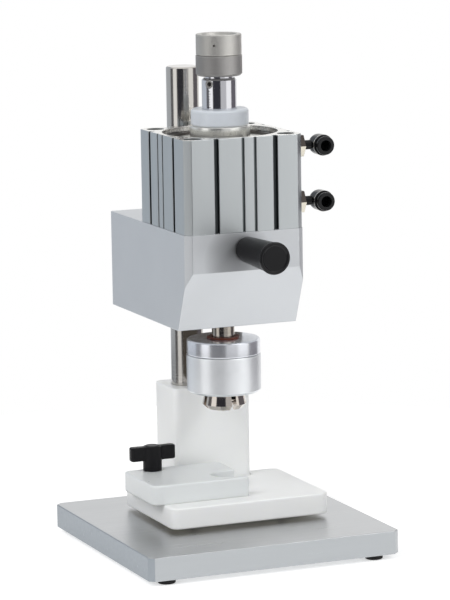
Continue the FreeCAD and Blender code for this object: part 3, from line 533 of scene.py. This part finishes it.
# %% [markdown]
# ## Soft edges on the solids
#
# A solid from the drawing has knife edges, and a real edge never has: it is broken with a
# file or a scraper, and that narrow band catches the light. We copy the solid's mesh, join
# the facets that lie in one plane, and give every sharp edge a small bevel. Normals that are
# weighted by area keep the flat faces flat. Rebuilding each piece by hand would look the same
# and take far longer.

# %% Breaking the edges
def softened(node, body, width, material, segments=2, sharp_above=30.0,
             reshape=None):
    work = bmesh.new()
    work.from_mesh(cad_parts[node].data)
    bmesh.ops.remove_doubles(work, verts=work.verts, dist=1e-6)
    bmesh.ops.dissolve_limit(work, angle_limit=math.radians(0.3), verts=work.verts,
                             edges=work.edges)
    if reshape:
        for vert in work.verts:
            vert.co = reshape(vert.co / MM) * MM
    mesh = bpy.data.meshes.new(node + "_plain")
    work.to_mesh(mesh)
    work.free()
    mesh.shade_smooth()
    plain = bpy.data.objects.new(node + "_plain", mesh)
    bpy.context.scene.collection.objects.link(plain)
    edges = plain.modifiers.new("edges", "BEVEL")
    edges.limit_method = "ANGLE"
    edges.angle_limit = math.radians(sharp_above)
    edges.width = width * MM
    edges.segments = segments
    edges.use_clamp_overlap = False
    flatten = plain.modifiers.new("flatten", "WEIGHTED_NORMAL")
    flatten.weight = 100
    flatten.thresh = 0.01
    graph = bpy.context.evaluated_depsgraph_get()
    mesh = bpy.data.meshes.new_from_object(plain.evaluated_get(graph))
    bpy.data.objects.remove(plain)
    new_piece(node + "_soft", mesh, body, material, [node])
    print(node, len(mesh.polygons), "faces")


softened("base_plate", "stand", 0.22, "brushed_aluminium")
softened("rubber_feet", "stand", 0.3, "black_rubber")

# %% [markdown]
# ## The slanted front of the head block
#
# The lower front of the head block is milled back at a slant, and the picture shows the slant
# starting higher than the drawing has it. We could model the block again, but only the few
# corners on the slanted plane have to move, straight up, and the faces round them stay flat.
# The crease is shallow, so this piece also gets its bevel at a smaller angle than the others.

# %% Lifting the slant
head_foot = 173.5
slant_back = -32.0
slant_run = 19.0
drawn_rise = 38.5
seen_rise = 44.5


def slant_lifted(spot):
    """Start the slanted front of the head block a little higher, as in the picture."""
    along = (slant_back - spot.y) / slant_run
    on_slant = along > 0.01 and abs(spot.z - head_foot - drawn_rise * along) < 0.1
    return Vector((spot.x, spot.y, head_foot + seen_rise * along)) if on_slant else spot


softened("head_block", "head", 0.5, "blasted_aluminium", sharp_above=14.0,
         reshape=slant_lifted)

# %% [markdown]
# ## More soft edges
#
# The rest of the metalwork takes the same treatment, from the cylinder down to the small
# screws. The width of each bevel is what a hand would break off that piece: half a millimetre
# on a white ring, a tenth on a screw.

# %% Cylinder, fittings and crimping head
softened("cylinder_body", "head", 0.4, "anodised_aluminium")
softened("cylinder_cover", "head", 0.3, "turned_aluminium")
softened("buffer_ring", "head", 0.5, "white_acetal", segments=3)
softened("corner_screws", "head", 0.12, "bright_steel")
softened("port_adapters", "head", 0.2, "nickel")
softened("elbow_stems", "head", 0.2, "nickel")
softened("lock_ring", "ram", 0.4, "polished_aluminium")
softened("lock_ring_bush", "ram", 0.4, "brown_bush")
softened("spindle", "ram", 0.25, "spindle_steel")
softened("stop_rod_screw", "ram", 0.12, "satin_steel")
for level in ("upper", "lower"):
    softened("release_ring_" + level, level + "_release", 0.4, "black_gloss", segments=3)

# %% [markdown]
# ## Column and collar
#
# The column and the collar under the rod mirror the room, so they need many more steps than
# their solids have: a facet would show as a kink in every bright band. Both come from the
# lathe again. The column has a chamfer at the top, and the collar is a little wider in the
# picture than in the drawing.

# %% Column and collar
column_foot = (0, 69, 0)
turned("polished_column", [(0, 16), (12.5, 16), (12.5, 358), (11.5, 359), (0, 359)],
       column_foot, "stand", "polished_steel", "polished_steel", ["column"], 0.25, steps=160)
ram_foot = (0, -4, 0)
turned("stop_collar_turned", [(13.05, 310.5), (22.5, 310.5), (22.5, 321), (13.05, 321)],
       ram_foot, "head", "collar_aluminium", "polished_steel", ["stop_collar"], 0.4, steps=128)

# %% [markdown]
# ## Elbows
#
# Each elbow is a black moulding: a ball behind, a short tube in front that takes the air line
# and its release ring, and a thin neck that turns on the fitting's stem. Ball and tube are one
# profile for the lathe, laid level. The stem lies level too, but square to that axis, so no
# lathe can make its hole, and we drill it with a boolean. A thin bright ring marks the seam.

# %% Drilling a hole
def bored(mesh, drill):
    """Cut one closed mesh out of another."""
    shape = bpy.data.objects.new("shape", mesh)
    tool = bpy.data.objects.new("tool", drill)
    for item in (shape, tool):
        bpy.context.scene.collection.objects.link(item)
    hole = shape.modifiers.new("hole", "BOOLEAN")
    hole.object = tool
    graph = bpy.context.evaluated_depsgraph_get()
    made = bpy.data.meshes.new_from_object(shape.evaluated_get(graph))
    for item in (shape, tool):
        bpy.data.objects.remove(item)
    return tidy_mesh(made)


print("drill ready")

# %% Elbows
elbow_x = 73.2
elbow_y = -20.0
ball = 7.8
ball_arc = [(ball * math.cos(math.radians(turn)), ball * math.sin(math.radians(turn)))
            for turn in range(-90, 1, 9)]
mouth = [(ball, 8.4), (7.2, 9.0), (5.5, 9.0), (5.5, 4.1), (4.1, 4.1), (4.1, 1.1), (0, 1.1)]
stem_hole = [(0, 59.0), (2.95, 59.0), (2.95, 68.7), (0, 68.7)]
neck = [(2.95, 59.3), (3.3, 59.3), (3.5, 59.6), (3.5, 65.5), (4.4, 67.5), (2.95, 67.5)]
band = [(7.7, 7.3), (7.95, 7.3), (7.95, 8.2), (7.7, 8.2)]
for level, height in (("upper", 304.0), ("lower", 262.0)):
    centre = (elbow_x, elbow_y, height)
    stem_foot = (0, elbow_y, height)
    ball_mesh = turned_mesh("ball", ball_arc + mouth, centre, (0, -1, 0), 72)
    drill_mesh = turned_mesh("drill", stem_hole, stem_foot, (1, 0, 0), 48)
    joined = bmesh.new()
    joined.from_mesh(bored(ball_mesh, drill_mesh))
    joined.from_mesh(turned_mesh("neck", neck, stem_foot, (1, 0, 0), 48))
    elbow_mesh = bpy.data.meshes.new("elbow_" + level)
    joined.to_mesh(elbow_mesh)
    joined.free()
    tidy_mesh(elbow_mesh)
    new_piece("elbow_%s_moulded" % level, elbow_mesh, level + "_elbow", "black_gloss",
              ["elbow_" + level])
    turned("elbow_%s_band" % level, band, centre, level + "_elbow", "bright_steel",
           "black_gloss", (), 0.05, axis=(0, -1, 0), steps=72)

# %% [markdown]
# ## Lines of the scale
#
# The rod carries short lines that show how far it travels, cut with a graver and filled with
# black. They are thinner than a pixel in most views, so an engraving in the mesh would be
# lost. Small blocks sunk almost flush in the wall give the same marks for a few faces.

# %% Lines of the scale
rod_radius = 13.0
scale_azimuth = math.radians(-59.0)
scale_low = 335.0
line_count = 7
lines = bmesh.new()
for index in range(line_count):
    width = 3.2 if index % 5 == 0 else 2.0
    low = scale_low + 2.0 * index
    made = bmesh.ops.create_cube(lines, size=1.0)["verts"]
    bmesh.ops.scale(lines, vec=Vector((width, 0.3, 0.34)) * MM, verts=made)
    outwards = Vector((math.sin(scale_azimuth), -math.cos(scale_azimuth), 0.0))
    bmesh.ops.rotate(lines, matrix=Matrix.Rotation(scale_azimuth, 3, "Z"), verts=made)
    place = Vector(ram_foot) + outwards * (rod_radius - 0.25) + Vector((0, 0, low + 0.2))
    bmesh.ops.translate(lines, vec=place * MM, verts=made)
line_mesh = bpy.data.meshes.new("scale_lines")
lines.to_mesh(line_mesh)
lines.free()
new_piece("scale_lines", line_mesh, "ram", "line_fill")
print(line_count, "scale lines")

# %% [markdown]
# ## Knurls
#
# A knurl is pressed by two wheels whose teeth run in opposite spirals, so it leaves small
# pyramids. Two saw-tooth waves that cross do the same: at each point the lower of the two
# says how far the metal stands. Bump would be cheaper, but it leaves the edge of the nut
# perfectly round, and a knurl is seen best at its edge. The upper nut has two small eyes for
# a pin, one in its side and one in its rim, and we drill them afterwards.

# %% Knurled pieces
def wave(turn):
    return abs(2.0 * (turn - math.floor(turn)) - 1.0)


def diamond(wall, low, high, teeth, depth):
    """Return a function that says how far a point on the wall is pressed in."""
    pitch = 2 * math.pi * wall / teeth

    def pressed(radius, height, angle):
        if radius < wall - 0.01 or not low <= height <= high:
            return 0.0
        around = teeth * angle / (2 * math.pi)
        stands = min(wave(around + height / pitch), wave(around - height / pitch))
        return -depth * (1.0 - stands)

    return pressed


def with_rows(profile, wall, spacing):
    """Divide the long run of a profile along its wall into short rows."""
    rows = []
    for index, here in enumerate(profile):
        rows.append(here)
        after = profile[(index + 1) % len(profile)]
        length = abs(after[1] - here[1])
        if min(here[0], after[0]) > wall - 0.01 and length > spacing:
            count = int(length / spacing)
            for step in range(1, count):
                rows.append((wall, here[1] + (after[1] - here[1]) * step / count))
    return rows


def knurled(name, profile, wall, low, high, teeth, depth, body, material, replaces,
            drills=()):
    rows = with_rows(rounded(profile, 0.35), wall, 2 * math.pi * wall / teeth / 4)
    mesh = turned_mesh(name, rows, ram_foot, steps=4 * teeth,
                       knurl=diamond(wall, low, high, teeth, depth))
    for drill in drills:
        mesh = bored(mesh, drill)
    new_piece(name, mesh, body, material, replaces)
    print(name, len(mesh.polygons), "faces")


knurled("lock_nut_knurled",
        [(8.05, 358.03), (15.7, 358.03), (17.3, 359.6), (17.3, 373), (16.8, 373.47),
         (8.05, 373.47)],
        17.3, 360.1, 372.6, 96, 0.16, "lock_nut_ring", "satin_steel",
        ["lock_nut"])
eye = [(0, -0.5), (0.9, -0.5), (0.9, 4.0), (0, 4.0)]
aside = Vector((math.sin(math.radians(-34.0)), -math.cos(math.radians(-34.0)), 0.0))
behind = Vector((math.sin(math.radians(116.0)), -math.cos(math.radians(116.0)), 0.0))
side_foot = Vector(ram_foot) + 17.0 * aside + Vector((0, 0, 381.25))
rim_foot = Vector(ram_foot) + 15.25 * behind + Vector((0, 0, 389))
side_eye = turned_mesh("side_eye", eye, side_foot, -aside, 24)
rim_eye = turned_mesh("rim_eye", eye, rim_foot, (0, 0, -1), 24)
knurled("stop_nut_knurled",
        [(8.05, 373.5), (16.5, 373.5), (17, 374), (17, 388.5), (16.5, 389), (13.5, 389),
         (12.5, 386.8), (8.05, 386.8)],
        17.0, 374.5, 388.1, 96, 0.16, "stop_nut_ring", "pale_steel",
        ["stop_nut"], (side_eye, rim_eye))
knurled("closing_sleeve_knurled",
        [(15.2, 120.2), (26.2, 120.2), (28, 122), (28, 148.5), (27.5, 149), (24, 149),
         (24, 145), (22, 145), (22, 122.7), (15.2, 122.7)],
        28.0, 122.6, 148.0, 150, 0.10, "sleeve", "sleeve_steel",
        ["closing_sleeve"])

# %% [markdown]
# ## Milled plates with soft edges
#
# The white plates are cut from sheet, and a hand scraper has broken their edges. Each plate
# is a stack of outlines: near the top and the bottom the outline draws in along a quarter
# circle. The outline itself is a short list of corners, each with its own radius, and a
# pocket or hole is the same list run the other way round.

# %% Plates from outlines
def outline(corners, inset, steps=6):
    """Points of a closed outline, drawn in by inset, with an arc at every corner."""
    points = []
    count = len(corners)
    for index, (x, y, radius) in enumerate(corners):
        here = Vector((x, y))
        before = Vector(corners[index - 1][:2])
        after = Vector(corners[(index + 1) % count][:2])
        inwards = (here - before).normalized()
        onwards = (after - here).normalized()
        side = Vector((-inwards.y, inwards.x))
        next_side = Vector((-onwards.y, onwards.x))
        here = here + (side + next_side) * (inset / (1.0 + side.dot(next_side)))
        turn = inwards.x * onwards.y - inwards.y * onwards.x
        bend = math.acos(max(-1.0, min(1.0, inwards.dot(onwards))))
        radius = max(radius - inset if turn > 0 else radius + inset, 0.05)
        start = here - inwards * radius * math.tan(bend / 2)
        centre = start + (side if turn > 0 else -side) * radius
        for step in range(steps + 1):
            angle = (bend if turn > 0 else -bend) * step / steps
            spoke = Matrix.Rotation(angle, 2) @ (start - centre)
            points.append(centre + spoke)
    return points


def round_hole(x, y, radius):
    return [(x - radius, y - radius, radius), (x - radius, y + radius, radius),
            (x + radius, y + radius, radius), (x + radius, y - radius, radius)]


def plate_mesh(name, loops, low, high, soft, steps=4):
    levels = [(1.5 * soft, low)]
    for step in range(steps + 1):
        angle = math.pi / 2 * step / steps
        levels.append((soft * (1 - math.sin(angle)), low + soft * (1 - math.cos(angle))))
    levels.append((0.0, low + 1.2 * soft))
    levels += [(inset, high + low - level) for inset, level in reversed(levels)]
    work = bmesh.new()
    caps = ([], [])
    for corners in loops:
        rings = []
        for inset, level in levels:
            rings.append([work.verts.new((point.x * MM, point.y * MM, level * MM))
                          for point in outline(corners, inset)])
        for lower, upper in zip(rings, rings[1:]):
            for index in range(len(lower)):
                work.faces.new((lower[index - 1], lower[index], upper[index],
                                upper[index - 1]))
        for cap, ring in zip(caps, (rings[0], rings[-1])):
            for index in range(len(ring)):
                cap.append(work.edges.get((ring[index - 1], ring[index])))
    for cap in caps:
        bmesh.ops.triangle_fill(work, edges=cap, use_beauty=True)
    mesh = bpy.data.meshes.new(name)
    work.to_mesh(mesh)
    work.free()
    return tidy_mesh(mesh)


def plate(name, loops, low, high, soft, body, node, material="white_polymer"):
    mesh = plate_mesh(name, loops, low, high, soft)
    new_piece(name, mesh, body, material, [node])
    print(name, len(mesh.polygons), "faces")


plate("column_block_milled",
      [[(-19.5, 48, 5), (43.8, 48, 5), (43.8, 90, 5), (-19.5, 90, 5)],
       round_hole(0, 69, 12.55)], 22, 113.5, 1.1, "stand", "column_block")
plate("nest_lower_plate_milled",
      [[(-57, -38, 7), (71, -38, 7), (71, 62, 7), (44.1, 62, 1), (44.1, 47.7, 1),
        (-19.8, 47.7, 1), (-19.8, 62, 1), (-57, 62, 7)],
       round_hole(-45, 32, 3.05)], 25, 41, 1.2, "stand", "nest_lower_plate")
pocket = 11.3
# The upper plate takes the darker copy of the white plastic: painted shade.
plate("nest_upper_plate_milled",
      [[(-66, -22, 5), (12.4, -22, 3), (12.4, -4 - pocket, 1.2), (-pocket, -4 - pocket, pocket),
        (-pocket, -4 + pocket, pocket), (12.4, -4 + pocket, 1.2), (12.4, 40, 5),
        (-66, 40, 5)],
       [(-51.25, 28.75, 3.25), (-51.25, 35.25, 3.25), (-37.75, 35.25, 3.25),
        (-37.75, 28.75, 3.25)]], 41, 56, 1.2, "nest_guide", "nest_upper_plate",
      "painted_shade_polymer")

# %% [markdown]
# ## Moulded pieces
#
# The T-handle is one moulding: a hub and two wings that melt into each other. Joining
# simple shapes and running a voxel remesh over them gives one skin, and a few rounds of
# smoothing turn the joints into small fillets, as a mould has. A boolean would join them as
# well, but it leaves each joint as sharp as a knife.

# %% Moulding simple shapes into one skin
def moulded(name, meshes, voxel, rounds, body, material, replaces):
    work = bmesh.new()
    for mesh in meshes:
        work.from_mesh(mesh)
    rough = bpy.data.meshes.new(name + "_rough")
    work.to_mesh(rough)
    work.free()
    shape = bpy.data.objects.new(name + "_rough", rough)
    bpy.context.scene.collection.objects.link(shape)
    skin = shape.modifiers.new("skin", "REMESH")
    skin.mode = "VOXEL"
    skin.voxel_size = voxel * MM
    soften = shape.modifiers.new("soften", "SMOOTH")
    soften.factor = 0.5
    soften.iterations = rounds
    graph = bpy.context.evaluated_depsgraph_get()
    mesh = bpy.data.meshes.new_from_object(shape.evaluated_get(graph))
    bpy.data.objects.remove(shape)
    mesh.name = name
    mesh.shade_smooth()
    new_piece(name, mesh, body, material, replaces)
    print(name, len(mesh.polygons), "faces")


handle_x, handle_y, handle_low = -45, 32, 56.1
hub = turned_mesh("hub", rounded([(0, 0), (7.2, 0), (7.2, 18.9), (0, 18.9)], 0.6),
                  (handle_x, handle_y, handle_low), steps=64)
cap = turned_mesh("cap", rounded([(0, 17.5), (5.6, 17.5), (5.6, 19.5), (0, 19.5)], 0.5),
                  (handle_x, handle_y, handle_low), steps=64)
wings = plate_mesh("wings",
                   [[(handle_x - 18, handle_y - 4.2, 2.6), (handle_x - 6, handle_y - 3.4, 4),
                     (handle_x + 6, handle_y - 3.4, 4), (handle_x + 18, handle_y - 4.2, 2.6),
                     (handle_x + 18, handle_y + 4.2, 2.6), (handle_x + 6, handle_y + 3.4, 4),
                     (handle_x - 6, handle_y + 3.4, 4), (handle_x - 18, handle_y + 4.2, 2.6)]],
                   handle_low + 8.2, handle_low + 19.0, 1.0)
moulded("t_handle_moulded", [hub, cap, wings], 0.45, 6, "clamp_handle", "black_plastic",
        ["t_handle"])

# %% [markdown]
# ## Grip
#
# The grip is a tapered sleeve that turns on a pin, with a smooth cap at its end that swells
# into a bead. Both are round, so they come from the lathe, and the bead is an arc in the cap's
# profile. They stay two pieces, because the sleeve has a fine grain and the cap has none.

# %% Grip with a beaded end
bead = 1.6
bead_radius = 12.0 - bead
bead_height = 53.5 - bead
bead_arc = [(bead_radius + bead * math.cos(math.radians(turn)),
             bead_height + bead * math.sin(math.radians(turn)))
            for turn in range(-45, 151, 15)]
grip_foot = (0, -51, 234)
turned("revolving_grip_turned",
       [(5.05, 1.0), (8.6, 1.0), (9.4, 2.0), (10.0, 15), (10.8, 35), (11.2, 46), (11.45, 50.6),
        (9.5, 50.6), (9.5, 45.5), (7.05, 45.5), (7.05, 41.9), (5.05, 41.9)],
       grip_foot, "revolving_grip", "black_plastic", "black_plastic", ["grip"], 0.3,
       axis=(0, -1, 0), steps=96)
turned("revolving_grip_end", [(0, 45.6), (9.45, 45.6), (9.45, 50.62)] + bead_arc +
       [(0, bead_arc[-1][1])],
       grip_foot, "revolving_grip", "black_gloss", "black_plastic", (), 0.2,
       axis=(0, -1, 0), steps=96)

# %% [markdown]
# ## Floor and world
#
# The floor is a small disc that keeps the object's shadow. It glows a little towards the
# camera and towards shiny metal, so that the background stays white without more lamps, and
# the world does the same. A stronger lamp on the floor would whiten it too, but it would also
# wash out the object.

# %% Floor
def lit_when_seen(tree, strength_seen, strength_else=0.0):
    """An emission whose strength is higher for camera, glossy and transmission rays."""
    path = tree.nodes.new("ShaderNodeLightPath")
    seen = path.outputs["Is Camera Ray"]
    for kind in ("Is Glossy Ray", "Is Transmission Ray"):
        either = tree.nodes.new("ShaderNodeMath")
        either.operation = "MAXIMUM"
        tree.links.new(seen, either.inputs[0])
        tree.links.new(path.outputs[kind], either.inputs[1])
        seen = either.outputs[0]
    ranged = tree.nodes.new("ShaderNodeMapRange")
    tree.links.new(seen, ranged.inputs["Value"])
    ranged.inputs["To Min"].default_value = strength_else
    ranged.inputs["To Max"].default_value = strength_seen
    return ranged.outputs[0]


floor_radius = 0.55
floor_mesh = bpy.data.meshes.new("floor")
rim = [(floor_radius * math.cos(a), floor_radius * math.sin(a), 0.0)
       for a in [2 * math.pi * step / 96 for step in range(96)]]
floor_mesh.from_pydata(rim, [], [list(range(96))])
floor = bpy.data.objects.new("floor", floor_mesh)
bpy.context.scene.collection.objects.link(floor)
floor_material = bpy.data.materials.new("floor")
floor_material.use_nodes = True
tree = floor_material.node_tree
tree.nodes.remove(tree.nodes["Principled BSDF"])
diffuse = tree.nodes.new("ShaderNodeBsdfDiffuse")
diffuse.inputs["Color"].default_value = (0.86, 0.86, 0.86, 1.0)
glow = tree.nodes.new("ShaderNodeEmission")
tree.links.new(lit_when_seen(tree, 0.50), glow.inputs["Strength"])
both = tree.nodes.new("ShaderNodeAddShader")
tree.links.new(diffuse.outputs[0], both.inputs[0])
tree.links.new(glow.outputs[0], both.inputs[1])
tree.links.new(both.outputs[0], tree.nodes["Material Output"].inputs["Surface"])
floor_mesh.materials.append(floor_material)
print("floor radius", floor_radius)

# %% World
world = bpy.data.worlds.new("studio")
bpy.context.scene.world = world
world.use_nodes = True
sky = world.node_tree.nodes["Background"]
sky.inputs["Color"].default_value = (1.0, 1.0, 1.0, 1.0)
world.node_tree.links.new(lit_when_seen(world.node_tree, 1.0, 0.52), sky.inputs["Strength"])
print("world set")

# %% [markdown]
# ## Reflection cards
#
# Round the machine stand tall cards, seen only in reflections: a dark one behind the camera,
# grey ones and bright ones at its sides. They put the bands on the column and the rod, as
# flags and softboxes do in a studio. Below the height of the bench each card is dimmer, which
# makes the lower pieces a little darker. A small flag between the column and the sleeve keeps
# the sleeve's bright back out of the column's reflection. An image of a room would give such
# bands as well, but cards can be set one by one.

# %% Reflection cards
card_radius = 1.0
card_low = -0.7
bench_level = -0.03
card_high = 1.3
bench_share = 0.60
cards = [
    ("left_grey", -166, -94, (0.56, 0.60, 0.65)),
    ("left_line", -94, -72, (0.14, 0.14, 0.15)),
    ("left_white", -72, -43, (1.15, 1.15, 1.15)),
    ("camera_dark", -43, 8, (0.04, 0.04, 0.05)),
    ("right_grey", 8, 46, (0.60, 0.60, 0.61)),
    ("right_white", 46, 84, (1.10, 1.10, 1.10)),
    ("right_dark", 84, 132, (0.16, 0.15, 0.17)),
]


def glowing_card(name, verts, faces, colour):
    """A card that only shiny surfaces can see."""
    mesh = bpy.data.meshes.new("card_" + name)
    mesh.from_pydata(verts, [], faces)
    card = bpy.data.objects.new("card_" + name, mesh)
    bpy.context.scene.collection.objects.link(card)
    material = bpy.data.materials.new("card_" + name)
    material.use_nodes = True
    tree = material.node_tree
    tree.nodes.remove(tree.nodes["Principled BSDF"])
    light = tree.nodes.new("ShaderNodeEmission")
    light.inputs["Color"].default_value = (*colour, 1.0)
    tree.links.new(light.outputs[0], tree.nodes["Material Output"].inputs["Surface"])
    mesh.materials.append(material)
    card.visible_camera = False
    card.visible_diffuse = False
    card.visible_shadow = False


def hang_card(name, start, end, low, high, colour):
    verts = []
    steps = 8
    for step in range(steps + 1):
        angle = math.radians(start + (end - start) * step / steps - 90.0) + camera_azimuth
        for height in (low, high):
            verts.append((card_radius * math.cos(angle), card_radius * math.sin(angle), height))
    faces = [(2 * step, 2 * step + 2, 2 * step + 3, 2 * step + 1) for step in range(steps)]
    glowing_card(name, verts, faces, colour)


for name, start, end, colour in cards:
    hang_card(name, start, end, bench_level, card_high, colour)
    hang_card(name + "_low", start, end, card_low, bench_level,
              [part * bench_share for part in colour])
flag = [(-0.034, 0.040, 0.1145), (0.034, 0.040, 0.1145), (0.034, 0.040, 0.196),
        (-0.034, 0.040, 0.196)]
glowing_card("flag", flag, [(0, 1, 2, 3)], (0.09, 0.08, 0.07))
print(2 * len(cards), "cards and a flag")

# %% [markdown]
# ## Lamps
#
# Most of the light comes from the world, so two soft area lamps are enough. The wide one on the
# left fills the shaded side, and the small one in front on the right draws the highlights, so
# only that one is seen by shiny metal.

# %% Lamps
for name, place, size, power in (("fill", (-1.4, -0.7, 1.3), 0.9, 15.0),
                                 ("key", (0.85, -1.50, 1.15), 0.4, 8.0)):
    lamp = bpy.data.objects.new(name, bpy.data.lights.new(name, "AREA"))
    bpy.context.scene.collection.objects.link(lamp)
    lamp.data.size = size
    lamp.data.energy = power
    lamp.location = place
    lamp.rotation_euler = (Vector(place) - Vector((0, 0, 0.18))).to_track_quat("Z", "Y").to_euler()
    lamp.visible_glossy = name == "key"
print("two lamps")
